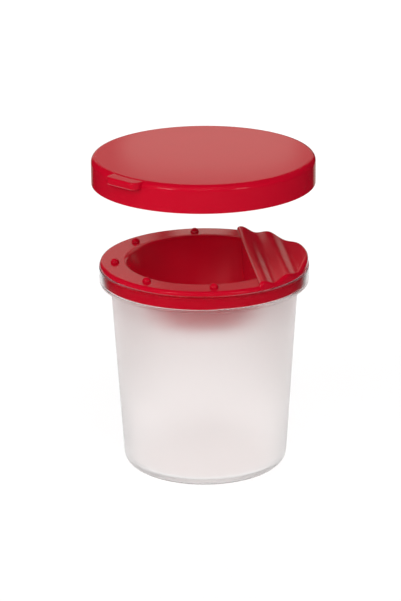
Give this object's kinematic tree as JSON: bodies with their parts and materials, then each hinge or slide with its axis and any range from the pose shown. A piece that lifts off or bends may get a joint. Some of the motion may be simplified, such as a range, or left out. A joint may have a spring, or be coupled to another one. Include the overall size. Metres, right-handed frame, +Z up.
{
  "type": "brush washer",
  "caption": "Brush washer: a clear tapered cup with a wide collar, a drop-in funnel insert with a wavy brush rest and small studs, and a push-on lid with a pull tab.",
  "frame": {"origin": "on the cup's axis, in the plane it stands on", "axes": "+Z up along the cup's axis, +X towards the brush rest"},
  "size_m": [0.091, 0.091, 0.132],
  "materials": {
    "clear_plastic": "glossy, clear",
    "red_plastic": "glossy"
  },
  "bodies": {
    "cup": {"clear_cup": "clear_plastic"},
    "insert": {"funnel_insert": "red_plastic"},
    "lid": {"lid": "red_plastic"}
  },
  "joints": [
    {"name": "insert_lift", "type": "slide", "parent": "cup", "child": "insert", "axis": [0, 0, 1], "range_m": [0, 0.035]},
    {"name": "lid_lift", "type": "slide", "parent": "insert", "child": "lid", "axis": [0, 0, 1], "range_m": [-0.0407, 0.03]}
  ]
}
